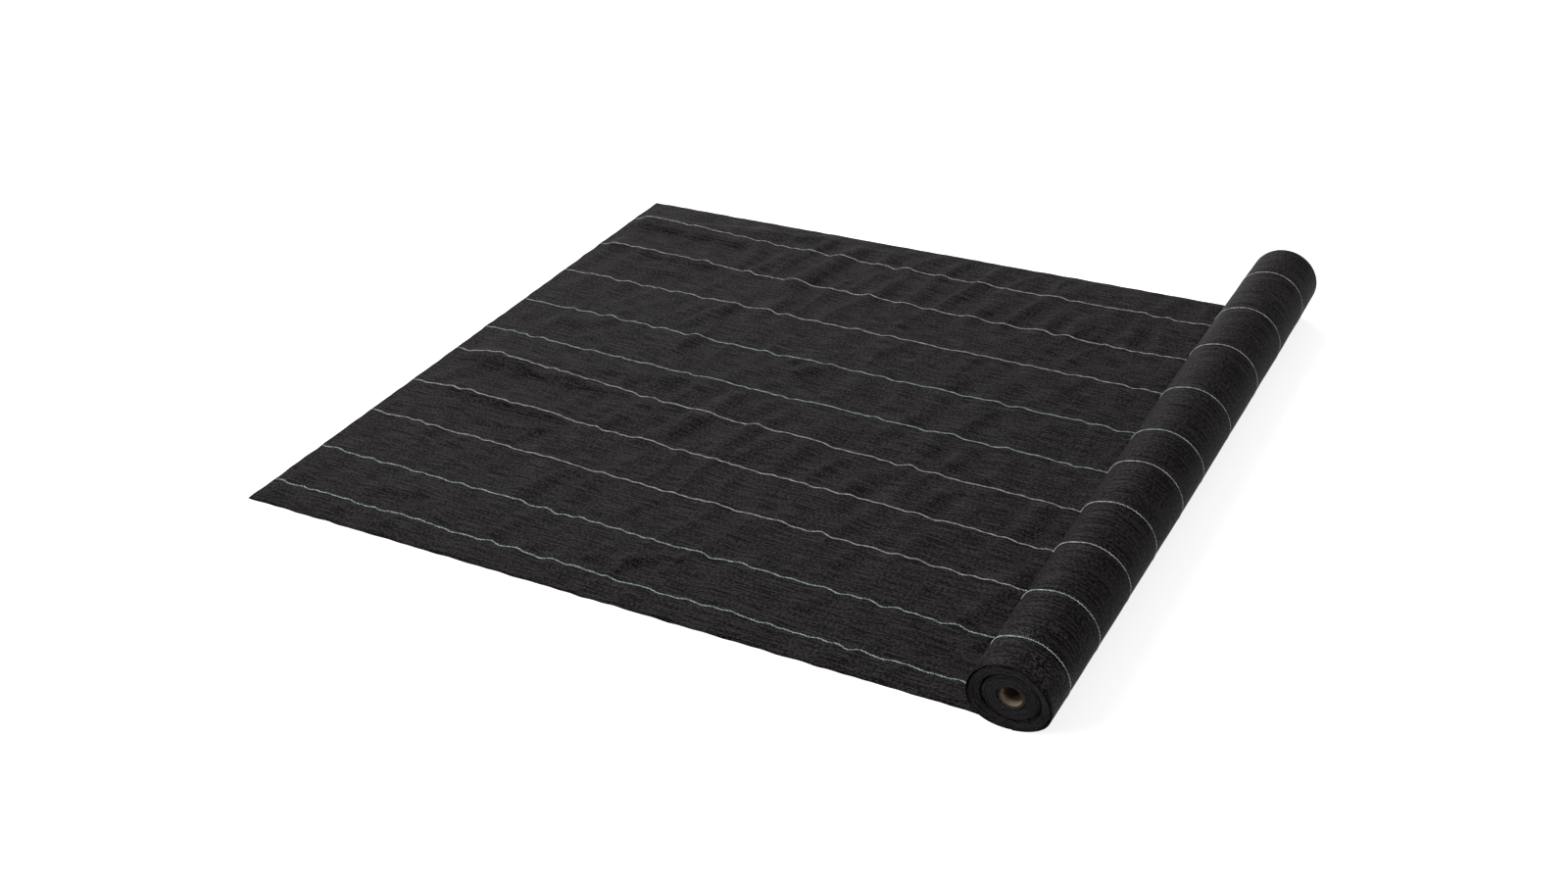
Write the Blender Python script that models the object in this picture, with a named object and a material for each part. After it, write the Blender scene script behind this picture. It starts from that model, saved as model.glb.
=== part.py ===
"""A roll of weed control sheet, partly rolled out on the ground.

Woven plastic fabric with ten coloured tracer yarns lies flat, passes under the roll and is wound
on a cardboard tube. X runs along the sheet, from its free edge towards the roll, Y across it and
Z up from the ground. The origin is on the ground, in the middle of the whole.
"""
import math

import bmesh
import bpy
import numpy as np
from mathutils import Vector

# The sheet, in metres like every other length here
SHEET_WIDTH = 1.0
LAID_LENGTH = 1.061
SHEET_THICKNESS = 0.0005
TRACER_WIDTH = 0.0018
TRACER_THICKNESS = 0.0004

# How it lies on the ground
RIPPLE_HEIGHT = 0.008
RIPPLE_LENGTH = 0.14
EDGE_FADE = 0.05
FLAT_BEFORE_ROLL = 0.09
LEAD_IN_BEHIND = 0.012
LEAD_IN_AHEAD = 0.006

# The roll, whose outer wraps are loose round a tight body
ROLL_DIAMETER = 0.0964
ROLL_OVERHANG = 0.0215
LOOSE_PITCH = 0.0017
OUTER_WRAP_LIFT = 0.0008
RING_GAP = 0.0013
TIGHT_BODY_RECESS = 0.0015

# The cardboard core and the tape that holds the sheet's inner end to it
CORE_BORE = 0.024
CORE_WALL = 0.003
CORE_RECESS = 0.004
TAPE_WIDTH = 0.025
TAPE_THICKNESS = 0.0002
TAPE_END_MARGIN = 0.02

# Room between pieces that touch, and the least room between two wraps
SEAT_GAP = 0.0003
LEAST_WRAP_GAP = 0.00045

# Counts
LOOP_LIMIT = 24
LOOSE_LOOPS = 7
STEPS_PER_LOOP = 24
TRACER_STEPS = 23
CORE_SIDES = 32
TAPE_STEPS = 8
LAID_COLUMNS = 36

# The tracer yarns, from the near edge. Their places are shares of the sheet's width: at its free
# edge and at the roll, and on the roll, where they lie a little further apart and nearer, because
# ripples draw the laid sheet in and the wraps have crept sideways.
TRACER_COLOURS = ("green", "green", "white", "white", "white") * 2
laid_tracer_shares = (
    (0.045, 0.044),
    (0.138, 0.129),
    (0.242, 0.223),
    (0.335, 0.310),
    (0.436, 0.401),
    (0.510, 0.499),
    (0.608, 0.605),
    (0.719, 0.717),
    (0.822, 0.817),
    (0.924, 0.928),
)
wound_tracer_shares = (0.029, 0.116, 0.213, 0.301, 0.396, 0.474, 0.586, 0.710, 0.823, 0.942)

# The main folds in the near half of the laid sheet. Place along it and across it, half length along
# and across: shares of its length and width. The last is the height as a share of RIPPLE_HEIGHT.
# The sheet was folded double in its pack, so the far half has the same folds, a little further on.
fold_shares = (
    (0.12, 0.440, 0.080, 0.034, 0.85),
    (0.27, 0.458, 0.080, 0.032, 0.60),
    (0.15, 0.338, 0.110, 0.028, 0.40),
    (0.315, 0.375, 0.035, 0.045, 0.40),
    (0.41, 0.385, 0.030, 0.050, 0.35),
    (0.32, 0.190, 0.035, 0.060, 0.35),
    (0.33, 0.095, 0.035, 0.045, 0.30),
    (0.52, 0.096, 0.050, 0.030, 0.35),
)
fold_repeat_shares = ((0, 0), (-0.038, 0.487))
RIPPLE_SHARE = 0.35
RIPPLE_SLANT = 1.5

# Where the outermost wrap and the ring gap step inwards, in turns from the sheet's way in
OUTER_STEP_TURN = 0.7
STEP_TURNS = 0.4

# Colours are linear
BLACK_WEAVE = (0.027, 0.025, 0.026)
TRACER_LOOKS = {"green": (0.36, 0.55, 0.45), "white": (0.62, 0.61, 0.58)}
CARDBOARD = (0.42, 0.27, 0.15)
TAPE_BUFF = (0.55, 0.42, 0.22)
FABRIC_ROUGHNESS = 0.6
YARN_ROUGHNESS = 0.5
PAPER_ROUGHNESS = 0.9
SMOOTH_ANGLE = math.radians(30)

# Places that follow from the sizes
roll_radius = ROLL_DIAMETER / 2
roll_width = SHEET_WIDTH + 2 * ROLL_OVERHANG
free_edge_x = -(LAID_LENGTH + roll_radius) / 2
axis_x = free_edge_x + LAID_LENGTH
axis_z = SHEET_THICKNESS + SEAT_GAP + roll_radius
laid_end_x = axis_x - LEAD_IN_BEHIND - SEAT_GAP
core_radius = CORE_BORE / 2 + CORE_WALL
tape_radius = core_radius + SEAT_GAP
inmost_radius = tape_radius + TAPE_THICKNESS + SEAT_GAP
outmost_radius = roll_radius - TRACER_THICKNESS - SEAT_GAP - SHEET_THICKNESS

# The winding's loops: the loose ones have their own pitch, and the tight ones share what is left
tight_room = outmost_radius - inmost_radius - LOOSE_LOOPS * LOOSE_PITCH - OUTER_WRAP_LIFT - RING_GAP
most_tight_loops = int(tight_room / (SHEET_THICKNESS + LEAST_WRAP_GAP))
tight_loops = max(1, min(LOOP_LIMIT - LOOSE_LOOPS, most_tight_loops))
tight_pitch = tight_room / tight_loops
loops = LOOSE_LOOPS + tight_loops


def smooth_step(value):
    """0 up to 0, 1 from 1 on, and a soft rise between."""
    share = min(max(value, 0), 1)
    return share * share * (3 - 2 * share)


def across(share):
    """The Y of a place given as a share of the sheet's width from its near edge."""
    return (share - 0.5) * SHEET_WIDTH


def ground_height(x, y):
    """How high the sheet's underside stands above the ground: low ripples and a few folds."""
    along = x - free_edge_x
    height = 0
    for along_repeat, across_repeat in fold_repeat_shares:
        for along_share, across_share, length_share, width_share, height_share in fold_shares:
            forward = (along / LAID_LENGTH - along_share - along_repeat) / length_share
            sideways = (y - across(across_share + across_repeat)) / (width_share * SHEET_WIDTH)
            height += height_share * math.exp(-forward * forward - sideways * sideways)
    slant = RIPPLE_SLANT * math.sin(y / RIPPLE_LENGTH)
    height += RIPPLE_SHARE * math.sin(along / RIPPLE_LENGTH * math.tau + slant)
    from_sides = (SHEET_WIDTH / 2 - abs(y)) / EDGE_FADE
    from_free_edge = along / EDGE_FADE
    from_roll = (laid_end_x - FLAT_BEFORE_ROLL - x) / EDGE_FADE
    fade = smooth_step(from_sides) * smooth_step(from_free_edge) * smooth_step(from_roll)
    return RIPPLE_HEIGHT * fade * max(height, 0)


def drop_at(turn):
    """How far the winding has come in from its outermost wrap after so many turns."""
    outer_step = smooth_step((turn - OUTER_STEP_TURN) / STEP_TURNS)
    ring_step = smooth_step((turn - LOOSE_LOOPS) / STEP_TURNS)
    loose = min(turn, LOOSE_LOOPS) * LOOSE_PITCH + outer_step * OUTER_WRAP_LIFT
    tight = max(turn - LOOSE_LOOPS, 0) * tight_pitch + ring_step * RING_GAP
    return loose + tight


def around(turn, radius, y):
    """A point round the roll's axis: turn 0 is the ground side, and the next is towards +X."""
    angle = turn * math.tau
    return Vector((radius * math.sin(angle), y, -radius * math.cos(angle)))


def empty(name, place, parent=None):
    made = bpy.data.objects.new(name, None)
    made.location = place
    made.parent = parent
    bpy.context.collection.objects.link(made)
    return made


def finish(name, mesh, colour, roughness, parent=None):
    """Makes a bmesh a named object with a material of its own."""
    bmesh.ops.recalc_face_normals(mesh, faces=mesh.faces)
    data = bpy.data.meshes.new(name)
    mesh.to_mesh(data)
    mesh.free()
    data.shade_smooth()
    data.set_sharp_from_angle(angle=SMOOTH_ANGLE)
    surface = bpy.data.materials.new(f"{name}_finish")
    surface.use_nodes = True
    shader = surface.node_tree.nodes["Principled BSDF"]
    shader.inputs["Base Color"].default_value = (*colour, 1)
    shader.inputs["Roughness"].default_value = roughness
    shader.inputs["Metallic"].default_value = 0
    data.materials.append(surface)
    piece = bpy.data.objects.new(name, data)
    piece.parent = parent
    bpy.context.collection.objects.link(piece)


def band(stations, rows, place, move):
    """A closed strip: a grid laid through place(station, row), and its copy moved by move(point)."""
    mesh = bmesh.new()
    steps, lanes = len(stations) - 1, len(rows) - 1
    bmesh.ops.create_grid(mesh, x_segments=steps, y_segments=lanes, size=1)
    for vertex in mesh.verts:
        station = stations[round((vertex.co.x + 1) / 2 * steps)]
        row = rows[round((vertex.co.y + 1) / 2 * lanes)]
        vertex.co = place(station, row)
    copy = bmesh.ops.extrude_face_region(mesh, geom=mesh.faces[:], use_keep_orig=True)
    for vertex in (item for item in copy["geom"] if isinstance(item, bmesh.types.BMVert)):
        vertex.co += move(vertex.co)
    return mesh


def line_y(shares, x):
    """The Y of a line along the laid sheet, which runs straight between its shares at the two ends."""
    at_free_edge, at_roll = shares
    along = (x - free_edge_x) / (laid_end_x - free_edge_x)
    return across(at_free_edge + (at_roll - at_free_edge) * along)


def grid_lines():
    """The lines of the laid sheet's grid: its edges, the tracers, and one between two tracers."""
    between = [
        tuple((near + far) / 2 for near, far in zip(*pair))
        for pair in zip(laid_tracer_shares[:-1], laid_tracer_shares[1:])
    ]
    return sorted([(0, 0), *laid_tracer_shares, *between, (1, 1)])


laid_step = (laid_end_x - free_edge_x) / LAID_COLUMNS
laid_columns = [free_edge_x + laid_step * column for column in range(LAID_COLUMNS + 1)]
laid_lines = grid_lines()


def laid_top(x, y):
    """The height of the laid sheet's upper face at a column of its grid, straight between its lines."""
    places = [line_y(shares, x) for shares in laid_lines]
    heights = [ground_height(x, place) for place in places]
    return float(np.interp(y, places, heights)) + SHEET_THICKNESS


def make_laid_sheet():
    def place(x, shares):
        y = line_y(shares, x)
        return Vector((x, y, ground_height(x, y)))

    mesh = band(laid_columns, laid_lines, place, lambda point: Vector((0, 0, SHEET_THICKNESS)))
    finish("laid_sheet", mesh, BLACK_WEAVE, FABRIC_ROUGHNESS)


def make_laid_tracer(number, shares, colour):
    """A tracer yarn on the laid sheet, which it follows over every ripple."""

    def place(x, side):
        y = line_y(shares, x) + side * TRACER_WIDTH / 2
        return Vector((x, y, laid_top(x, y) + SEAT_GAP))

    mesh = band(laid_columns, (-1, 1), place, lambda point: Vector((0, 0, TRACER_THICKNESS)))
    finish(f"laid_tracer_{number:02}", mesh, TRACER_LOOKS[colour], YARN_ROUGHNESS)


def make_lead_in(foot):
    """The stretch of sheet that is pinched between the roll and the ground."""
    mesh = band(
        (-LEAD_IN_BEHIND, LEAD_IN_AHEAD),
        (-SHEET_WIDTH / 2, SHEET_WIDTH / 2),
        lambda x, y: Vector((x, y, 0)),
        lambda point: Vector((0, 0, SHEET_THICKNESS)),
    )
    finish("lead_in_sheet", mesh, BLACK_WEAVE, FABRIC_ROUGHNESS, foot)


def outwards(point, distance):
    """A step of that distance away from the roll's axis."""
    return Vector((point.x, 0, point.z)).normalized() * distance


def make_wound_sheet(axis):
    """The winding: one unbroken spiral from the ground side of the roll in to the core."""
    turns = [step / STEPS_PER_LOOP for step in range(loops * STEPS_PER_LOOP + 1)]

    def place(turn, side):
        recess = TIGHT_BODY_RECESS * smooth_step((turn - LOOSE_LOOPS) / STEP_TURNS)
        return around(turn, outmost_radius - drop_at(turn), side * (roll_width / 2 - recess))

    mesh = band(turns, (-1, 1), place, lambda point: outwards(point, SHEET_THICKNESS))
    finish("wound_sheet", mesh, BLACK_WEAVE, FABRIC_ROUGHNESS, axis)


def make_wound_tracer(number, y, colour, axis):
    """A tracer yarn on the outermost wrap, as far round as it shows."""
    turns = [step / STEPS_PER_LOOP for step in range(TRACER_STEPS + 1)]

    def place(turn, side):
        return around(turn, outmost_radius - drop_at(turn) + SHEET_THICKNESS + SEAT_GAP, side)

    sides = (y - TRACER_WIDTH / 2, y + TRACER_WIDTH / 2)
    mesh = band(turns, sides, place, lambda point: outwards(point, TRACER_THICKNESS))
    finish(f"wound_tracer_{number:02}", mesh, TRACER_LOOKS[colour], YARN_ROUGHNESS, axis)


def make_core(axis):
    """A cardboard tube: its wall's outline is spun round the roll's axis."""
    half = roll_width / 2 - CORE_RECESS
    mesh = bmesh.new()
    outline = ((CORE_BORE / 2, -half), (core_radius, -half), (core_radius, half), (CORE_BORE / 2, half))
    corners = [mesh.verts.new((radius, y, 0)) for radius, y in outline]
    edges = [mesh.edges.new((corners[i - 1], corners[i])) for i in range(len(corners))]
    bmesh.ops.spin(
        mesh,
        geom=corners + edges,
        cent=(0, 0, 0),
        axis=(0, 1, 0),
        angle=math.tau,
        steps=CORE_SIDES,
        use_merge=True,
    )
    finish("core_tube", mesh, CARDBOARD, PAPER_ROUGHNESS, axis)


def make_start_tape(axis):
    """A strip of tape along the core, under the last part of the winding."""
    tape_turns = TAPE_WIDTH / (math.tau * tape_radius)
    turns = [loops - tape_turns * (1 - step / TAPE_STEPS) for step in range(TAPE_STEPS + 1)]
    half = roll_width / 2 - CORE_RECESS - TAPE_END_MARGIN
    mesh = band(
        turns,
        (-half, half),
        lambda turn, y: around(turn, tape_radius, y),
        lambda point: outwards(point, TAPE_THICKNESS),
    )
    finish("start_tape", mesh, TAPE_BUFF, PAPER_ROUGHNESS, axis)


def least_wrap_gap():
    """The least distance between the winding's inner face and the outer face of the wrap inside it."""
    count = loops * STEPS_PER_LOOP + 1
    turns = [step / STEPS_PER_LOOP for step in range(count)]
    inner = np.array([around(turn, outmost_radius - drop_at(turn), 0) for turn in turns])
    radii = np.linalg.norm(inner, axis=1, keepdims=True)
    outer = inner * (radii + SHEET_THICKNESS) / radii
    least = math.inf
    for i in range(count - STEPS_PER_LOOP):
        for j in range(i + STEPS_PER_LOOP - 2, min(i + STEPS_PER_LOOP + 2, count - 1)):
            run = outer[j + 1] - outer[j]
            share = np.clip(np.dot(inner[i] - outer[j], run) / np.dot(run, run), 0, 1)
            least = min(least, float(np.linalg.norm(inner[i] - outer[j] - share * run)))
    return least


for old in list(bpy.data.objects):
    bpy.data.objects.remove(old, do_unlink=True)

roll_foot = empty("roll_foot", (axis_x, 0, 0))
roll_axis = empty("roll_axis", (0, 0, axis_z), roll_foot)

make_laid_sheet()
make_lead_in(roll_foot)
make_wound_sheet(roll_axis)
make_core(roll_axis)
make_start_tape(roll_axis)
for number, colour in enumerate(TRACER_COLOURS, 1):
    make_laid_tracer(number, laid_tracer_shares[number - 1], colour)
    make_wound_tracer(number, across(wound_tracer_shares[number - 1]), colour, roll_axis)

print(f"The winding has {loops} loops, and the least gap between them is {least_wrap_gap() * 1000:.2f} mm.")
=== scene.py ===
"""The looks of a roll of weed control sheet, partly rolled out on the ground.

The sections follow the roll as it is made: the cardboard core, the tape on it, the sheet wound on
them, the sheet's way in under the roll, and the stretch that lies on the ground. The tracer yarns
come next, and the studio last. Lengths are in metres, or in millimetres times MM.
"""
import math

import bmesh
import bpy
import numpy as np
from mathutils import Matrix, Vector, noise


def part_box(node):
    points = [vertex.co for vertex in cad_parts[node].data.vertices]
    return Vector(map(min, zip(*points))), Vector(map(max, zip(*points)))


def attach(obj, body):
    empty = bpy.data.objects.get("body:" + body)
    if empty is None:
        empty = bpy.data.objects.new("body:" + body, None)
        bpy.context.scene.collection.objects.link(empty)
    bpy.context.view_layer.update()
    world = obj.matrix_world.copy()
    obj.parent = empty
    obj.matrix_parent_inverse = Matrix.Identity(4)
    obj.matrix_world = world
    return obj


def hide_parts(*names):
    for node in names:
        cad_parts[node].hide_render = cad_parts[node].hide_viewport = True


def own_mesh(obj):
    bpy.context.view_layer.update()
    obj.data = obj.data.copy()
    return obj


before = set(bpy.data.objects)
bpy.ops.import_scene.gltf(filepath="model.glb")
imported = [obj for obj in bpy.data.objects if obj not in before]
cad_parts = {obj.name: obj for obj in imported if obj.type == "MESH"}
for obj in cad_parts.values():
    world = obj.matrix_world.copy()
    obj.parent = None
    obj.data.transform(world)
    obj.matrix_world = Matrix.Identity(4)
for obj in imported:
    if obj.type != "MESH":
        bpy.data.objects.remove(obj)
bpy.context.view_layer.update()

MM = 0.001


# The core is a kraft cardboard tube, 24 mm in the bore. Strips of paper are wound round a mandrel
# like a screw thread and glued, so a ply seam runs round it. Its cut rims, and its bore further
# in, are darkened with painted shade.
CORE_WALL = 3 * MM
CORE_SIDES = 96
RIM_ROUNDING = 0.4 * MM
RIM_SEGMENTS = 2
SHARP_CORNER = math.radians(40)
NEAR_END_SUNK = 7 * MM
PLY_STRIP_WIDTH = 70 * MM
SEAM_SHARE = 0.012
SEAM_DEPTH = 0.25 * MM
MOTTLE_SIZE = 6 * MM
PAPER_FIBRE = 1.2 * MM
FIBRE_RISE = 0.3
# Painted shade in the bore: none down to the first of these depths, and full from the second on.
LIT_DEPTH = 5 * MM
DARK_DEPTH = 11 * MM

core_low, core_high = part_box("core_tube")
axis = (core_low + core_high) / 2
core_radius = core_high.x - axis.x
core_half = core_high.y - axis.y
near_end = NEAR_END_SUNK - core_half
core_middle = (near_end + core_half) / 2
half_length = (core_half - near_end) / 2


def linear(hex_colour):
    """The linear colour, with alpha, of an sRGB colour written rrggbb."""
    parts = [int(hex_colour[i : i + 2], 16) / 255 for i in (0, 2, 4)]
    lit = [part / 12.92 if part <= 0.04045 else ((part + 0.055) / 1.055) ** 2.4 for part in parts]
    return (*lit, 1)


def feed(tree, made, sockets):
    """Gives a node's sockets their values, or links them to the node or the output given."""
    for socket, value in sockets.items():
        if isinstance(value, bpy.types.Node):
            value = value.outputs[0]
        if isinstance(value, bpy.types.NodeSocket):
            tree.links.new(value, made.inputs[socket])
        else:
            made.inputs[socket].default_value = value


def node(tree, kind, sockets=(), **settings):
    """Adds a shader node of that kind, with its settings and with what feeds its sockets."""
    made = tree.nodes.new(f"ShaderNode{kind}")
    for setting, value in settings.items():
        setattr(made, setting, value)
    feed(tree, made, dict(sockets))
    return made


def new_finish(name, roughness, specular):
    """A material, its nodes and its shader. What is the same all over is set on the shader."""
    finish = bpy.data.materials.new(name)
    finish.use_nodes = True
    tree = finish.node_tree
    shader = tree.nodes["Principled BSDF"]
    feed(tree, shader, {"Roughness": roughness, "Specular IOR Level": specular})
    return finish, tree, shader


def fibres(tree, place, stretch, detail=3):
    """Noise drawn out to streaks: stretch gives a streak's size along each axis of place."""
    scale = [1 / size for size in stretch]
    scaled = node(tree, "Mapping", {"Vector": place, "Scale": scale})
    return node(tree, "TexNoise", {"Vector": scaled, "Scale": 1, "Detail": detail})


def cardboard():
    """Kraft cardboard: mottled brown paper with short fibres, dull, and a ply seam round the tube.
    Painted shade darkens its cut rims, and its bore further in to a dark red-brown."""
    finish, tree, shader = new_finish("kraft_cardboard_spiral_wound", roughness=0.9, specular=0.2)
    place = node(tree, "TexCoord").outputs["Object"]
    local = node(tree, "Mapping", {"Vector": place, "Location": -axis})
    x, y, z = node(tree, "SeparateXYZ", {0: local}).outputs

    angle = node(tree, "Math", {0: x, 1: z}, operation="ARCTAN2")
    turn = node(tree, "Math", {0: angle, 1: math.tau}, operation="DIVIDE")
    along = node(tree, "Math", {0: y, 1: PLY_STRIP_WIDTH}, operation="DIVIDE")
    strips = node(tree, "Math", {0: along, 1: turn}, operation="ADD")
    in_strip = node(tree, "Math", {0: strips}, operation="FRACT")
    seam = node(tree, "Math", {0: in_strip, 1: 0.5, 2: SEAM_SHARE}, operation="COMPARE")

    # Painted shade: the bore darkens with depth from its mouths.
    off_middle = node(tree, "Math", {0: y, 1: core_middle}, operation="SUBTRACT")
    way_out = node(tree, "Math", {0: off_middle}, operation="ABSOLUTE")
    lit, dark = half_length - LIT_DEPTH, half_length - DARK_DEPTH
    deep = node(tree, "MapRange", {0: way_out, 1: lit, 2: dark})
    # Painted shade: the cut rims are painted dark.
    rim = half_length - RIM_ROUNDING / 2
    rims = node(tree, "Math", {0: way_out, 1: rim}, operation="GREATER_THAN")

    mottle = fibres(tree, local, [MOTTLE_SIZE] * 3)
    fibre = fibres(tree, local, (PAPER_FIBRE, 3 * PAPER_FIBRE, PAPER_FIBRE))
    tones = {"Factor": mottle, 6: linear("95836f"), 7: linear("c6b49c")}
    paper = node(tree, "Mix", tones, data_type="RGBA").outputs[2]
    # What lies over the plain paper, how strongly it shows, and its colour.
    layers = (
        (fibre, 0.5, "6e6050"),
        (seam, 0.7, "4a3322"),
        # painted shade deep in the bore
        (deep, 0.85, "2b1613"),
        # painted shade on the cut rims
        (rims, 0.94, "1d1917"),
    )
    for layer, strength, colour in layers:
        share = node(tree, "Math", {0: layer, 1: strength}, operation="MULTIPLY")
        tones = {"Factor": share, 6: paper, 7: linear(colour)}
        paper = node(tree, "Mix", tones, data_type="RGBA").outputs[2]

    raised = node(tree, "Math", {0: fibre, 1: FIBRE_RISE}, operation="MULTIPLY")
    height = node(tree, "Math", {0: raised, 1: seam}, operation="SUBTRACT")
    bump = node(tree, "Bump", {"Height": height, "Distance": SEAM_DEPTH})
    feed(tree, shader, {"Base Color": paper, "Normal": bump})
    return finish


def new_object(name, data):
    """Puts an object made of that data into the scene."""
    made = bpy.data.objects.new(name, data)
    bpy.context.scene.collection.objects.link(made)
    return made


def show(name, data, finishes, body):
    """Makes a mesh a smooth piece of those finishes that rides on a body."""
    data.shade_smooth()
    for finish in finishes:
        data.materials.append(finish)
    piece = new_object(name, data)
    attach(piece, body)
    return piece


core = bmesh.new()
corners = [
    core.verts.new((radius, y, 0))
    for radius, y in (
        (core_radius - CORE_WALL, near_end),
        (core_radius, near_end),
        (core_radius, core_half),
        (core_radius - CORE_WALL, core_half),
    )
]
for i, corner in enumerate(corners):
    core.edges.new((corners[i - 1], corner))
bmesh.ops.bevel(
    core,
    geom=corners,
    offset=RIM_ROUNDING,
    segments=RIM_SEGMENTS,
    profile=0.5,
    affect="VERTICES",
    material=-1,
)
bmesh.ops.spin(
    core,
    geom=core.verts[:] + core.edges[:],
    cent=(0, 0, 0),
    axis=(0, 1, 0),
    angle=math.tau,
    steps=CORE_SIDES,
    use_merge=True,
)
bmesh.ops.translate(core, verts=core.verts, vec=axis)
bmesh.ops.recalc_face_normals(core, faces=core.faces)
core_data = bpy.data.meshes.new("cardboard_tube")
core.to_mesh(core_data)
core.free()
cardboard_tube = show("cardboard_tube", core_data, [cardboard()], "roll")
core_data.set_sharp_from_angle(angle=SHARP_CORNER)
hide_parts("core_tube")


# The tape that holds the sheet's inner end to the core is crepe masking tape. It is stuck along the
# tube under the last part of the winding, so only its edge can be seen, deep in the roll's ends.
CREPE_WIDTH = 0.8 * MM
CREPE_LENGTH = 4.8 * MM
CREPE_DEPTH = 0.1 * MM


def masking_tape():
    """Creped paper tape: buff and matt, with fine wrinkles across its length."""
    finish, tree, shader = new_finish("creped_masking_tape", roughness=0.8, specular=0.3)
    place = node(tree, "TexCoord").outputs["Object"]
    crepe = fibres(tree, place, (CREPE_LENGTH, CREPE_WIDTH, CREPE_LENGTH))
    tones = {"Factor": crepe, 6: linear("b79a63"), 7: linear("d8c08c")}
    colour = node(tree, "Mix", tones, data_type="RGBA").outputs[2]
    bump = node(tree, "Bump", {"Height": crepe, "Distance": CREPE_DEPTH})
    feed(tree, shader, {"Base Color": colour, "Normal": bump})
    return finish


start_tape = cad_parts["start_tape"]
start_tape.data.materials.clear()
start_tape.data.materials.append(masking_tape())


# The sheet is woven from flat black polypropylene tapes, drawn from film, in a plain weave. It is
# wound on the core from its inner end: a tight body first, then a loose band of wraps round it.
# The outermost wrap shows its face, and the rest only their edges, which have slipped a little.
SHEET_THICKNESS = 0.35 * MM
TAPE_SPACING = 1.35 * MM

# The winding's turns are counted inwards, from where the sheet leaves the roll at the bottom.
LOOSE_TURNS = 17
LOOSE_BAND = 10.9 * MM
TIGHT_TURNS = 31
OUTER_WRAP_TURNS = 1.15
OUTER_STEP = 2.3 * MM
OUTER_STEP_TURN = 0.95
RING_GAP = 3.2 * MM
STEP_TURNS = 0.4
CORE_CLEARANCE = 0.8 * MM
ARC_STEPS_PER_TURN = 40

# The outermost wrap's belly and lumps. It is held flat over so many turns at both its ends.
BELLY = 2.2 * MM
LUMP_HEIGHT = 0.35 * MM
LUMP_SIZE = 70 * MM
SMALL_LUMP_HEIGHT = 0.5 * LUMP_HEIGHT
SMALL_LUMP_SIZE = (LUMP_SIZE / 3, LUMP_SIZE / 2)
HELD_AT_BOTTOM = 0.15
HELD_INSIDE = 0.3

# The edges' slip along the roll, and the lean of the near end's face, most at LEAN_TURN.
END_SLIP = 1.2 * MM
SLIPS_PER_TURN = 1.7
SLIPPED_SHARE = 0.1
TIGHT_BODY_RECESS = 1.5 * MM
OUTER_LEAN = 15.5 * MM
TIGHT_LEAN = 6.5 * MM
TIGHT_SUNK = 7.5 * MM
LEAN_TURN = 0.042

# The winding's mesh.
OUTER_STATIONS = 112
INNER_STATIONS_PER_TURN = 48
INNER_ROWS = 6
FABRIC_CELL = 5 * MM

# The weave's look. The two tones are the noise at which it is darkest and palest.
# The flecks are painted glints: crossings at differing angles, drawn lighter and darker in the
# colour.
FLECK_LENGTH = 3.8 * MM
FLECK_WIDTH = 2.6 * MM
STREAK_LENGTH = 45 * MM
FLECK_SHARE = 0.55
DARK_TONE = 0.435
PALE_TONE = 0.6
CRINKLE_ALONG = 9 * MM
CRINKLE_ACROSS = 26 * MM
CRINKLE_HEIGHT = 0.6 * MM
PILLOW_SHARE = 0.2

# Pale rubbed specks: from where to where across the roll they set in, the size of their patches,
# and the noise from which a patch begins and is full.
RUBBED_FROM = -0.38
RUBBED_FULLY = -0.47
RUBBED_PATCH = 25 * MM
PATCH_FROM = 0.5
PATCH_FULLY = 0.6
RUBBED_CREST = 0.45
RUBBED_STRENGTH = 0.45

# The cut edges: tape ends, from dark to pale ones, and the frayed ones among them.
END_SPACING = 6 * MM
DARK_END = 0.35
PALE_END = 0.65
FRAY_SPACING = 2 * MM
FRAYED_FROM = 0.76

wound_low, wound_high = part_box("wound_sheet")
outer_radius = axis.z - wound_low.z
wound_half = wound_high.y - axis.y
wound_width = 2 * wound_half
turns = LOOSE_TURNS + TIGHT_TURNS
inmost_radius = core_radius + CORE_CLEARANCE + SHEET_THICKNESS
tight_band = outer_radius - inmost_radius - LOOSE_BAND - OUTER_STEP - RING_GAP


def smooth(share):
    """0 up to 0, 1 from 1 on, and a soft rise between."""
    share = np.clip(share, 0, 1)
    return share * share * (3 - 2 * share)


def noise_at(x, y, pattern):
    """Soft noise from -1 to 1, the same in each run. Each pattern is another one."""
    return noise.noise(Vector((x, y, pattern)))


def wrap_radius(turn):
    """The radius of the winding's outer face after so many turns in from its outermost wrap."""
    loose = np.minimum(turn, LOOSE_TURNS) * LOOSE_BAND / LOOSE_TURNS
    tight = np.maximum(turn - LOOSE_TURNS, 0) * tight_band / TIGHT_TURNS
    steps = OUTER_STEP * smooth((turn - OUTER_STEP_TURN) / STEP_TURNS)
    steps = steps + RING_GAP * smooth((turn - LOOSE_TURNS) / STEP_TURNS)
    return outer_radius - loose - tight - steps


def arc_to(turn):
    """The length of sheet from the outermost wrap's start to that turn."""
    fine = np.linspace(0, turns, ARC_STEPS_PER_TURN * turns)
    ways = np.concatenate(([0], np.cumsum(wrap_radius(fine[1:]) * np.diff(fine) * math.tau)))
    return np.interp(turn, fine, ways)


def points_of(data):
    """A mesh's vertices as rows of x, y and z."""
    rows = np.zeros(len(data.vertices) * 3)
    data.vertices.foreach_get("co", rows)
    return rows.reshape(-1, 3)


def set_points(data, rows):
    """Puts a mesh's vertices where those rows say."""
    data.vertices.foreach_set("co", rows.ravel())
    data.update()


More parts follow.
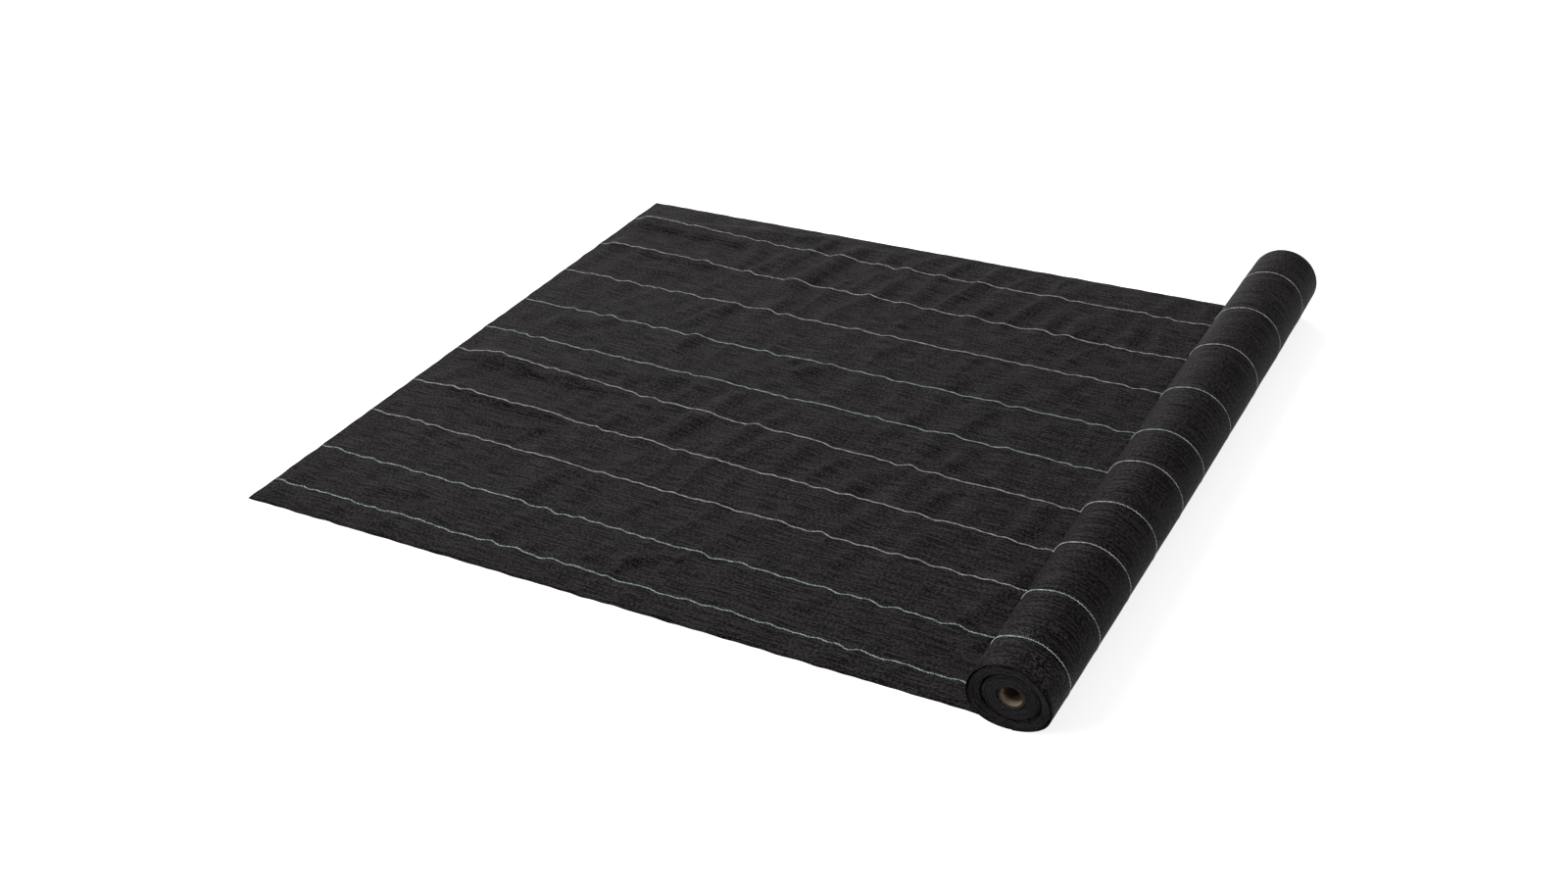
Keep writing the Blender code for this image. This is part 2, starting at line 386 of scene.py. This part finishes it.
def flat_grid(name, along, across):
    """A flat grid through those places along and across it."""
    mesh = bmesh.new()
    bmesh.ops.create_grid(mesh, x_segments=len(along) - 1, y_segments=len(across) - 1, size=1)
    data = bpy.data.meshes.new(name)
    mesh.to_mesh(data)
    mesh.free()
    rows = points_of(data)
    columns = np.rint((rows[:, 0] + 1) / 2 * (len(along) - 1)).astype(int)
    lanes = np.rint((rows[:, 1] + 1) / 2 * (len(across) - 1)).astype(int)
    set_points(data, np.stack([along[columns], across[lanes], np.zeros(len(rows))], 1))
    return data


def set_flat_uv(data, flat_along, flat_across):
    """The UV of each corner is its place on the flat sheet, in metres."""
    corners = np.zeros(len(data.loops), int)
    data.loops.foreach_get("vertex_index", corners)
    layer = data.uv_layers.new(name="flat")
    layer.data.foreach_set("uv", np.stack([flat_along[corners], flat_across[corners]], 1).ravel())


def show_sheet(name, data, finishes, body):
    """Makes a grid a piece of sheet, with its thickness. A second finish is its cut edges'."""
    piece = show(name, data, finishes, body)
    solid = piece.modifiers.new("thickness", "SOLIDIFY")
    solid.thickness = SHEET_THICKNESS
    solid.offset = 1
    solid.material_offset_rim = len(finishes) - 1
    return piece


def woven_polypropylene(name, worn=False):
    """Woven polypropylene tape: nearly black, with a soft sheen that wakes at low angles. Its
    crossings lie at differing angles, and the glints that this gives are painted into its colour as
    flecks; tapes that differ in tension draw streaks along it.
    The flecks are two tapes wide and nearly three long, as one real tape is too fine to show."""
    finish, tree, shader = new_finish(name, roughness=0.5, specular=0.012)
    flat = node(tree, "UVMap", uv_map="flat")
    along, across, _ = node(tree, "SeparateXYZ", {0: flat}).outputs
    waves = []
    for side in (along, across):
        phase = node(tree, "Math", {0: side, 1: math.pi / TAPE_SPACING}, operation="MULTIPLY")
        waves.append(node(tree, "Math", {0: phase}, operation="SINE"))
    crossings = node(tree, "Math", {0: waves[0], 1: waves[1]}, operation="MULTIPLY")
    pillows = node(tree, "Math", {0: crossings}, operation="ABSOLUTE")

    streaks = fibres(tree, flat, (STREAK_LENGTH, FLECK_WIDTH, 1), detail=1)
    # Painted glints: crossings that lie at differing angles are drawn as lighter and darker flecks.
    flecks = fibres(tree, flat, (FLECK_LENGTH, FLECK_WIDTH, 1), detail=1)
    streaks_and_glints = node(tree, "Mix", {"Factor": FLECK_SHARE, 2: streaks, 3: flecks})
    contrast = node(tree, "MapRange", {0: streaks_and_glints, 1: DARK_TONE, 2: PALE_TONE})
    tones = {"Factor": contrast, 6: linear("080707"), 7: linear("3a3638")}
    colour = node(tree, "Mix", tones, data_type="RGBA").outputs[2]

    if worn:
        place = node(tree, "TexCoord").outputs["Object"]
        y = node(tree, "SeparateXYZ", {0: place}).outputs["Y"]
        near = node(tree, "MapRange", {0: y, 1: RUBBED_FROM, 2: RUBBED_FULLY})
        patches = fibres(tree, place, [RUBBED_PATCH] * 3)
        patches = node(tree, "MapRange", {0: patches, 1: PATCH_FROM, 2: PATCH_FULLY})
        crests = node(tree, "Math", {0: pillows, 1: flecks}, operation="MULTIPLY")
        rubbed = node(tree, "Math", {0: crests, 1: RUBBED_CREST}, operation="GREATER_THAN")
        for share in (near, patches, RUBBED_STRENGTH):
            rubbed = node(tree, "Math", {0: rubbed, 1: share}, operation="MULTIPLY")
        tones = {"Factor": rubbed, 6: colour, 7: linear("a5a3a1")}
        colour = node(tree, "Mix", tones, data_type="RGBA").outputs[2]

    crinkle = fibres(tree, flat, (CRINKLE_ALONG, CRINKLE_ACROSS, 1), detail=2)
    relief = {0: pillows, 1: PILLOW_SHARE, 2: crinkle}
    height = node(tree, "Math", relief, operation="MULTIPLY_ADD")
    bump = node(tree, "Bump", {"Height": height, "Distance": CRINKLE_HEIGHT})
    feed(tree, shader, {"Base Color": colour, "Normal": bump})
    return finish


def cut_weave():
    """The winding's cut edges: tape ends side by side, greyer than the face and dull, with a few
    pale frayed ones."""
    finish, tree, shader = new_finish("woven_polypropylene_cut_edge", roughness=0.8, specular=0.05)
    flat = node(tree, "UVMap", uv_map="flat")
    ends = fibres(tree, flat, (END_SPACING, 1, 1), detail=2)
    contrast = node(tree, "MapRange", {0: ends, 1: DARK_END, 2: PALE_END})
    tones = {"Factor": contrast, 6: linear("1f1e1e"), 7: linear("3e3c3c")}
    colour = node(tree, "Mix", tones, data_type="RGBA").outputs[2]
    fray = fibres(tree, flat, (FRAY_SPACING, 1, 1), detail=1)
    frayed = node(tree, "Math", {0: fray, 1: FRAYED_FROM}, operation="GREATER_THAN")
    tones = {"Factor": frayed, 6: colour, 7: linear("a5a3a1")}
    colour = node(tree, "Mix", tones, data_type="RGBA").outputs[2]
    feed(tree, shader, {"Base Color": colour})
    return finish


def wound_places(turn, y, lift):
    """Where points of the wound sheet are: lift is how far they stand off their wrap's face."""
    radius = wrap_radius(turn) + lift
    angle = turn * math.tau
    return np.stack([axis.x + radius * np.sin(angle), y, axis.z - radius * np.cos(angle)], 1)


def lumps(turn, y):
    """How far the outermost wrap stands out or in, as cloth that was wound by hand does."""
    long, wide = SMALL_LUMP_SIZE
    waves = [
        LUMP_HEIGHT * noise_at(way / LUMP_SIZE, place / LUMP_SIZE, 3)
        + SMALL_LUMP_HEIGHT * noise_at(way / long, place / wide, 8)
        for way, place in zip(turn * math.tau * outer_radius, y)
    ]
    belly = BELLY * (1 - (y / wound_half) ** 2)
    free = smooth(turn / HELD_AT_BOTTOM) * smooth((OUTER_WRAP_TURNS - turn) / HELD_INSIDE)
    return (np.array(waves) + belly) * free


def leaning(turn):
    """How far in from the square the near end's edges lie: most at the bottom, where the sheet runs
    off at its own width, and none over the top, where the wraps have crept outwards."""
    depth = np.cos((turn - LEAN_TURN) * math.tau)
    outer = OUTER_LEAN * ((1 + depth) / 2) ** 3
    tight = TIGHT_SUNK + TIGHT_LEAN * depth * wrap_radius(turn) / outer_radius
    share = np.clip(turn / LOOSE_TURNS, 0, 1)
    return outer + (tight - outer) * share


def slipped(turn, y):
    """Places across the roll, with those near the wraps' edges moved as the edges have slipped."""
    side = np.sign(y)
    at_edge = smooth((np.abs(y) / wound_half - 1 + SLIPPED_SHARE) / SLIPPED_SHARE)
    inward = TIGHT_BODY_RECESS * smooth((turn - LOOSE_TURNS) / STEP_TURNS)
    inward = inward + leaning(turn) * (side < 0)
    # Each side slips in a way of its own, so it reads the noise in another place.
    drift = [noise_at(SLIPS_PER_TURN * t, 5 * s, 1) for t, s in zip(turn, side)]
    return y + at_edge * side * (END_SLIP * np.array(drift) - inward)


black_weave = woven_polypropylene("woven_polypropylene_black")
rubbed_weave = woven_polypropylene("woven_polypropylene_black_rubbed", worn=True)
cut_edge = cut_weave()

stations = np.linspace(0, OUTER_WRAP_TURNS, OUTER_STATIONS + 1)
rows_across = np.linspace(-wound_half, wound_half, round(wound_width / FABRIC_CELL) + 1)
outer = flat_grid("outermost_wrap", stations, rows_across)
turn, y, _ = points_of(outer).T
set_flat_uv(outer, arc_to(turn), y)
set_points(outer, wound_places(turn, slipped(turn, y), lumps(turn, y)))
outermost_wrap = show_sheet("outermost_wrap", outer, [rubbed_weave, cut_edge], "roll")
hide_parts("wound_sheet")

inner_stations = round((turns - OUTER_WRAP_TURNS) * INNER_STATIONS_PER_TURN)
stations = np.linspace(OUTER_WRAP_TURNS, turns, inner_stations + 1)
inner = flat_grid("inner_winding", stations, np.linspace(-wound_half, wound_half, INNER_ROWS + 1))
turn, y, _ = points_of(inner).T
set_flat_uv(inner, arc_to(turn), y)
set_points(inner, wound_places(turn, slipped(turn, y), 0))
inner_winding = show_sheet("inner_winding", inner, [black_weave, cut_edge], "roll")
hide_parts("wound_sheet")


# Where the sheet goes in under the roll it is pinched flat against the ground. This stretch moves
# with the roll as that is rolled up.
LEAD_COLUMNS = 4

lead_low, lead_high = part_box("lead_in_sheet")
lead_width = lead_high.y - lead_low.y
lead = flat_grid(
    "pinched_stretch",
    np.linspace(lead_low.x, lead_high.x, LEAD_COLUMNS + 1),
    np.linspace(lead_low.y, lead_high.y, round(lead_width / FABRIC_CELL) + 1),
)
x, y, _ = points_of(lead).T
set_flat_uv(lead, x - lead_high.x, y)
pinched_stretch = show_sheet("pinched_stretch", lead, [black_weave], "lead")
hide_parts("lead_in_sheet")


# The stretch on the ground is one metre wide and as it came off the roll: creased by its pack,
# rippled across, and cockled near its free end. It was folded double when it was packed, so
# both halves of its width have the same creases.
LAID_CELL_ALONG = 3.7 * MM
LAID_CELL_ACROSS = 6.5 * MM
CREASE_SHIFT_ALONG = -0.040
CREASE_SHIFT_ACROSS = 0.487
CREASE_END_SHARE = 0.22
TAUT_HEIGHT = 5 * MM
RIPPLE_HEIGHT = 2.6 * MM
RIPPLE_ALONG = 34 * MM
RIPPLE_ACROSS = 120 * MM
RIPPLE_SLANT = 0.25
RIDGE_HEIGHT = 7.0 * MM
RIDGE_ALONG = 56 * MM
RIDGE_LEAN = 20 * MM
RIDGE_LEVEL = 0.2
COCKLE_HEIGHT = 0.6 * MM
COCKLE_SIZE = 22 * MM
REST_HEIGHT = 1.0 * MM
GROUND_SOFTNESS = 0.8 * MM
EDGE_FADE = 30 * MM
EDGE_HEIGHT_SHARE = 0.12
FLAT_BEFORE_ROLL = 80 * MM
SKEW_AT_FREE_EDGE = -4.9 * MM
SKEW_AT_ROLL = 3.8 * MM
SKEW_FADE = 40 * MM
SELVEDGE_WAVE = 1.6 * MM
SELVEDGE_WAVE_LENGTH = 24 * MM
SELVEDGE_DEPTH = 20 * MM
# Each crease: where its crest starts and ends, as metres from the free edge and from the near edge,
# how far the crest bows to its left, its height, and its width to the left and right of the crest.
CREASES = (
    ((0.005, 0.428), (0.320, 0.422), 0.000, 0.0070, 0.045, 0.025),
    ((0.000, 0.444), (0.430, 0.508), -0.014, 0.0056, 0.020, 0.030),
    ((0.020, 0.345), (0.300, 0.331), -0.003, 0.0056, 0.038, 0.019),
    ((0.075, 0.312), (0.290, 0.303), -0.022, 0.0036, 0.012, 0.013),
    ((0.292, 0.335), (0.298, 0.430), 0.000, 0.0022, 0.012, 0.026),
    ((0.318, 0.320), (0.352, 0.430), 0.000, 0.0043, 0.017, 0.036),
    ((0.385, 0.300), (0.436, 0.435), 0.000, 0.0046, 0.020, 0.042),
    ((0.490, 0.318), (0.518, 0.430), 0.000, 0.0038, 0.017, 0.034),
    ((0.530, 0.316), (0.549, 0.410), 0.000, 0.0029, 0.014, 0.026),
    ((0.582, 0.313), (0.603, 0.420), 0.000, 0.0027, 0.017, 0.036),
    ((0.640, 0.330), (0.654, 0.410), 0.000, 0.0017, 0.014, 0.026),
    ((0.695, 0.313), (0.718, 0.410), 0.000, 0.0024, 0.016, 0.034),
    ((0.755, 0.320), (0.768, 0.410), 0.000, 0.0019, 0.014, 0.026),
    ((0.800, 0.313), (0.818, 0.410), 0.000, 0.0023, 0.014, 0.026),
    ((0.843, 0.313), (0.857, 0.410), 0.000, 0.0023, 0.014, 0.026),
    ((0.884, 0.330), (0.896, 0.410), 0.000, 0.0019, 0.014, 0.028),
    ((0.930, 0.313), (0.940, 0.404), 0.000, 0.0020, 0.016, 0.028),
    ((0.372, 0.430), (0.396, 0.495), 0.000, 0.0029, 0.014, 0.026),
    ((0.430, 0.420), (0.450, 0.495), 0.000, 0.0034, 0.016, 0.030),
    ((0.492, 0.425), (0.504, 0.490), 0.000, 0.0024, 0.014, 0.024),
    ((0.534, 0.420), (0.545, 0.490), 0.000, 0.0024, 0.014, 0.026),
    ((0.594, 0.420), (0.606, 0.490), 0.000, 0.0020, 0.014, 0.030),
    ((0.668, 0.420), (0.680, 0.490), 0.000, 0.0017, 0.014, 0.026),
    ((0.728, 0.410), (0.746, 0.490), 0.000, 0.0020, 0.014, 0.030),
    ((0.790, 0.415), (0.803, 0.490), 0.000, 0.0017, 0.014, 0.026),
    ((0.855, 0.410), (0.866, 0.490), 0.000, 0.0019, 0.014, 0.026),
    ((0.905, 0.415), (0.914, 0.490), 0.000, 0.0017, 0.014, 0.026),
    ((0.314, 0.130), (0.368, 0.245), 0.012, 0.0036, 0.012, 0.030),
    ((0.340, 0.050), (0.354, 0.140), 0.000, 0.0029, 0.012, 0.026),
    ((0.505, 0.068), (0.590, 0.124), 0.000, 0.0041, 0.020, 0.024),
    ((0.110, 0.083), (0.230, 0.108), 0.000, 0.0032, 0.027, 0.022),
)

laid_low, laid_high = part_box("laid_sheet")
laid_length = laid_high.x - laid_low.x
laid_width = laid_high.y - laid_low.y


def crease_height(along, across, crease):
    """The height of one crease over places given from the free edge and from the near edge."""
    start, end, bow, height, left, right = crease
    run = Vector(end) - Vector(start)
    way = run.normalized()
    from_start = along - start[0], across - start[1]
    share = (from_start[0] * way.x + from_start[1] * way.y) / run.length
    side = from_start[1] * way.x - from_start[0] * way.y - bow * 4 * share * (1 - share)
    out = np.clip(np.abs(side) / np.where(side > 0, left, right), 0, 1)
    ends = smooth(share / CREASE_END_SHARE) * smooth((1 - share) / CREASE_END_SHARE)
    return height * ends * (1 + np.cos(math.pi * out)) / 2


def ridge_at(slanted, across):
    """A pattern of sharp little ridges across the sheet."""
    return RIDGE_LEVEL - abs(noise_at(slanted / RIDGE_ALONG, across / RIPPLE_ACROSS, 7))


def laid_height(along, across):
    """How high the laid sheet's underside stands off the ground."""
    height = np.zeros(len(along))
    for crease in CREASES:
        height += crease_height(along, across, crease)
        shifted = along - CREASE_SHIFT_ALONG, across - CREASE_SHIFT_ACROSS
        height += crease_height(*shifted, crease)
    # A high fold is pulled tight, so it has hardly any ripples.
    free = 1 / (1 + (height / TAUT_HEIGHT) ** 2)
    for spot, (x, y) in enumerate(zip(along, across)):
        slanted = x - RIPPLE_SLANT * y
        ripple = RIPPLE_HEIGHT * noise_at(slanted / RIPPLE_ALONG, y / RIPPLE_ACROSS, 0)
        ridge = RIDGE_HEIGHT * ridge_at(slanted + RIDGE_LEAN * ridge_at(slanted, y), y)
        cockle = COCKLE_HEIGHT * noise_at(x / COCKLE_SIZE, y / COCKLE_SIZE, 5)
        height[spot] += (ripple + ridge) * free[spot] + cockle
    height += REST_HEIGHT
    height = (height + np.sqrt(height**2 + GROUND_SOFTNESS**2)) / 2
    sides = smooth(across / EDGE_FADE) * smooth((laid_width - across) / EDGE_FADE)
    ends = smooth(along / EDGE_FADE) * smooth((laid_length - along) / FLAT_BEFORE_ROLL)
    for share in (sides, ends):
        height = height * (EDGE_HEIGHT_SHARE + (1 - EDGE_HEIGHT_SHARE) * share)
    return height


def skew(along):
    """How far the sheet leans sideways there: a loose weave is pulled askew as it is unrolled."""
    lean = SKEW_AT_FREE_EDGE + (SKEW_AT_ROLL - SKEW_AT_FREE_EDGE) * along / laid_length
    return lean * smooth((laid_length - along) / SKEW_FADE)


def edge_wave(along_edge, other):
    """How far out a wavy edge lies at places so far along it. other is the sheet's other way."""
    waves = [noise_at(x / SELVEDGE_WAVE_LENGTH, y, 11) for x, y in zip(along_edge, other)]
    return SELVEDGE_WAVE * np.array(waves)


columns = round(laid_length / LAID_CELL_ALONG)
lanes = round(laid_width / LAID_CELL_ACROSS)
laid = flat_grid(
    "laid_stretch",
    np.linspace(0, laid_length, columns + 1),
    np.linspace(0, laid_width, lanes + 1),
)
along, across, _ = points_of(laid).T
set_flat_uv(laid, along - laid_length, across + laid_low.y)
height = laid_height(along, across)
from_side = np.minimum(across, laid_width - across)
wave_across = edge_wave(along, across) * smooth(1 - from_side / SELVEDGE_DEPTH)
wave_along = edge_wave(across, along) * smooth(1 - along / SELVEDGE_DEPTH)
x = laid_low.x + along + wave_along
y = laid_low.y + across + skew(along) + wave_across
set_points(laid, np.stack([x, y, height], 1))
laid_stretch = show_sheet("laid_stretch", laid, [black_weave], "laid")
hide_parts("laid_sheet")


def gather(piece):
    """Gives a piece that lies on the ground a mesh of its own."""
    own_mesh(piece)


gather(laid_stretch)


# Ten tracer yarns run the whole length of the sheet, for setting out rows of plants: green, green,
# white, white and white, and the same again. Each is a soft twisted yarn that the weave lets out
# over two tapes and takes in under the next, so it shows as a row of beads.
TRACER_COLOURS = ("green", "green", "white", "white", "white") * 2
YARN_WIDTH = 2.2 * MM
YARN_THICKNESS = 0.6 * MM
YARN_SIDES = 6
BEAD_LENGTH = 2 * TAPE_SPACING
BEAD_RISE = 0.25 * MM
BEAD_SWELL = 0.27
STATIONS_PER_BEAD = 5
MERGE_WITHIN = 0.01 * MM
YARN_SWAY = 0.4 * MM
YARN_WANDER = 4.8 * MM
WANDER_LENGTH = 19 * MM
TWIST_LENGTH = 0.5 * MM
TWIST_WIDTH = 0.4 * MM
TWIST_DEPTH = 0.15 * MM
TWIST_SHARE = 0.4
# Painted glints and shade along each yarn: the length of their stretches, and the noise from shaded
# to bright.
GLINT_STRETCH_LENGTH = 9 * MM
SHADED_STRETCH_NOISE = 0.42
GLINT_STRETCH_NOISE = 0.56
# A wound yarn is made for most of one turn. Behind the roll it swings towards the far end.
WOUND_YARN_TURNS = 0.96
BEHIND_SWING = 11 * MM
SWING_FROM_TURN = 0.53
SWING_OUT_TURNS = 0.16
SWING_BACK_TURNS = 0.24

grid_order = np.lexsort((across, along))
height_grid = height[grid_order].reshape(columns + 1, lanes + 1)


def sheet_height_at(along, across):
    """The height of the laid sheet's underside between its grid's points."""
    just_inside = 1e-6
    column = np.clip(along / laid_length * columns, 0, columns - just_inside)
    lane = np.clip(across / laid_width * lanes, 0, lanes - just_inside)
    c, l = column.astype(int), lane.astype(int)
    u, v = column - c, lane - l
    near = height_grid[c, l] * (1 - u) + height_grid[c + 1, l] * u
    far = height_grid[c, l + 1] * (1 - u) + height_grid[c + 1, l + 1] * u
    return near * (1 - v) + far * v


def yarn(name, dull, bright):
    """Twisted polypropylene yarn: matt and a little fuzzy, with the turns of its twist in relief.
    Painted shade and painted glints darken and lighten its colour along the turns and in longer
    stretches."""
    finish, tree, shader = new_finish(name, roughness=0.7, specular=0.25)
    flat = node(tree, "UVMap", uv_map="flat")
    twist = fibres(tree, flat, (TWIST_LENGTH, TWIST_WIDTH, 1))
    glint_stretches = fibres(tree, flat, (GLINT_STRETCH_LENGTH, 1, 1), detail=1)
    glint_stretches = node(tree, "MapRange", {0: glint_stretches, 1: SHADED_STRETCH_NOISE, 2: GLINT_STRETCH_NOISE})
    # Painted shade and glints along the turns of the twist and in longer stretches.
    shade = node(tree, "Mix", {"Factor": TWIST_SHARE, 2: glint_stretches, 3: twist})
    tones = {"Factor": shade, 6: linear(dull), 7: linear(bright)}
    colour = node(tree, "Mix", tones, data_type="RGBA").outputs[2]
    bump = node(tree, "Bump", {"Height": twist, "Distance": TWIST_DEPTH})
    feed(tree, shader, {"Base Color": colour, "Normal": bump})
    return finish


yarns = {
    # Each yarn's darkest tone is painted shade, and its palest a painted glint.
    "green": yarn("tracer_yarn_green", "6f9788", "f2fffa"),
    "white": yarn("tracer_yarn_white", "8f8c88", "ffffff"),
}


def make_yarn(name, length, place_of, colour, body):
    """A tracer: a beaded tube round a line. place_of gives a point's place from its way along the
    line and how far it lies sideways and outwards."""
    stations = np.linspace(0, length, round(length / BEAD_LENGTH) * STATIONS_PER_BEAD + 1)
    data = flat_grid(name, stations, np.linspace(0, math.tau, YARN_SIDES + 1))
    way, round_it, _ = points_of(data).T
    set_flat_uv(data, way, round_it / math.tau * YARN_WIDTH)
    phase = way / BEAD_LENGTH * math.tau
    swell = 1 - BEAD_SWELL + BEAD_SWELL * np.sin(phase)
    sideways = np.cos(round_it) * YARN_WIDTH / 2 * swell + YARN_SWAY * np.sin(phase / 2)
    outwards = np.sin(round_it) * YARN_THICKNESS / 2 * swell + BEAD_RISE * np.sin(phase)
    set_points(data, place_of(way, sideways, outwards))
    mesh = bmesh.new()
    mesh.from_mesh(data)
    bmesh.ops.remove_doubles(mesh, verts=mesh.verts, dist=MERGE_WITHIN)
    bmesh.ops.holes_fill(mesh, edges=mesh.edges, sides=YARN_SIDES)
    bmesh.ops.recalc_face_normals(mesh, faces=mesh.faces)
    mesh.to_mesh(data)
    mesh.free()
    return show(name, data, [yarns[colour]], body)


laid_yarns, wound_yarns = [], []
for number, colour in enumerate(TRACER_COLOURS, 1):
    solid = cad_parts[f"laid_tracer_{number:02}"]
    x, y, _ = points_of(solid.data).T
    at_free_edge = y[x < laid_low.x + MM].mean()
    at_roll = y[x > laid_high.x - MM].mean()

    def on_ground(way, sideways, outwards):
        """Along the solid tracer's line, and wandering a little, on top of the laid sheet."""
        wander = np.array([noise_at(x / WANDER_LENGTH, number, 0) for x in way])
        middle = at_free_edge + (at_roll - at_free_edge) * way / laid_length
        middle = middle + YARN_WANDER * wander
        top = sheet_height_at(way, middle + sideways - laid_low.y - skew(way)) + SHEET_THICKNESS
        return np.stack([laid_low.x + way, middle + sideways, top + outwards], 1)

    piece = make_yarn(f"laid_yarn_{number:02}", laid_length, on_ground, colour, "laid")
    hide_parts(solid.name)
    gather(piece)
    laid_yarns.append(piece)

    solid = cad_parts[f"wound_tracer_{number:02}"]
    low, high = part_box(solid.name)
    middle = (low.y + high.y) / 2
    wound_length = float(arc_to(WOUND_YARN_TURNS))

    def on_roll(way, sideways, outwards):
        """Round the roll at the solid tracer's place, but from its laid place at the bottom."""
        turn = way / wound_length * WOUND_YARN_TURNS
        crept = (at_roll - middle) * ((1 + np.cos(turn * math.tau)) / 2) ** 2
        swung = smooth((turn - SWING_FROM_TURN) / SWING_OUT_TURNS)
        swung = swung * smooth((WOUND_YARN_TURNS - turn) / SWING_BACK_TURNS)
        beside = middle + crept + BEHIND_SWING * swung
        return wound_places(turn, beside + sideways, lumps(turn, beside) + outwards)

    piece = make_yarn(f"wound_yarn_{number:02}", wound_length, on_roll, colour, "roll")
    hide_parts(solid.name)
    wound_yarns.append(piece)


# The studio: a white floor, a soft grey surround that shows white itself, a large soft lamp at the
# back left and a weaker one at the front left, and the camera where the photographer stood.
GROUND_SIZE = 60
GROUND_DROP = 0.2 * MM
GROUND_GLOW = 0.8
SURROUND_STRENGTH = 0.23
# Each lamp: its place, its width and height, and its power in watts.
LAMPS = {
    "left_softbox": ((-5.6, 6.6, 6.4), (6.0, 3.6), 810),
    "front_softbox": ((-3.0, -4.5, 3.0), (2.5, 2.5), 150),
}
CAMERA_PLACE = (1.02985, -1.84325, 1.24079)
CAMERA_AZIMUTH = math.radians(-30.178)
CAMERA_ELEVATION = math.radians(31.579)
CAMERA_ROLL = math.radians(-3.244)
CAMERA_LENS = 41.035
CAMERA_SENSOR = 36


def seen_directly(tree):
    """1 for rays from the camera, and for those that a mirror or glass sends on."""
    rays = node(tree, "LightPath").outputs
    direct = rays["Is Camera Ray"]
    for sent_on in ("Is Glossy Ray", "Is Transmission Ray"):
        direct = node(tree, "Math", {0: direct, 1: rays[sent_on]}, operation="MAXIMUM")
    return direct


ground_mesh = bmesh.new()
bmesh.ops.create_grid(ground_mesh, x_segments=1, y_segments=1, size=GROUND_SIZE / 2)
bmesh.ops.translate(ground_mesh, verts=ground_mesh.verts, vec=(0, 0, -GROUND_DROP))
ground_data = bpy.data.meshes.new("ground")
ground_mesh.to_mesh(ground_data)
ground_mesh.free()
ground = new_object("ground", ground_data)
paper, tree, shader = new_finish("white_studio_paper", roughness=0.9, specular=0.2)
glow = node(tree, "Math", {0: seen_directly(tree), 1: GROUND_GLOW}, operation="MULTIPLY")
feed(
    tree,
    shader,
    {
        "Base Color": linear("f2f2f2"),
        "Emission Color": linear("ffffff"),
        "Emission Strength": glow,
    },
)
ground_data.materials.append(paper)

world = bpy.data.worlds.new("studio")
bpy.context.scene.world = world
world.use_nodes = True
tree = world.node_tree
strength = node(tree, "MapRange", {0: seen_directly(tree), 3: SURROUND_STRENGTH, 4: 1})
feed(tree, tree.nodes["Background"], {"Color": linear("ffffff"), "Strength": strength})

for name, (place, size, power) in LAMPS.items():
    lamp_data = bpy.data.lights.new(name, "AREA")
    lamp_data.shape = "RECTANGLE"
    lamp_data.size, lamp_data.size_y = size
    lamp_data.energy = power
    lamp = new_object(name, lamp_data)
    lamp.location = place
    lamp.rotation_euler = (-Vector(place)).to_track_quat("-Z", "Y").to_euler()

camera_data = bpy.data.cameras.new("camera")
camera_data.sensor_width = CAMERA_SENSOR
camera_data.lens = CAMERA_LENS
camera = new_object("camera", camera_data)
looking = Vector(
    (
        math.sin(CAMERA_AZIMUTH) * math.cos(CAMERA_ELEVATION),
        math.cos(CAMERA_AZIMUTH) * math.cos(CAMERA_ELEVATION),
        -math.sin(CAMERA_ELEVATION),
    )
)
right = looking.cross(Vector((0, 0, 1))).normalized()
up = right.cross(looking)
turned_right = right * math.cos(CAMERA_ROLL) + up * math.sin(CAMERA_ROLL)
turned_up = up * math.cos(CAMERA_ROLL) - right * math.sin(CAMERA_ROLL)
turning = Matrix((turned_right, turned_up, -looking)).transposed()
camera.matrix_world = Matrix.Translation(CAMERA_PLACE) @ turning.to_4x4()
bpy.context.scene.camera = camera
bpy.context.scene.view_settings.view_transform = "Standard"
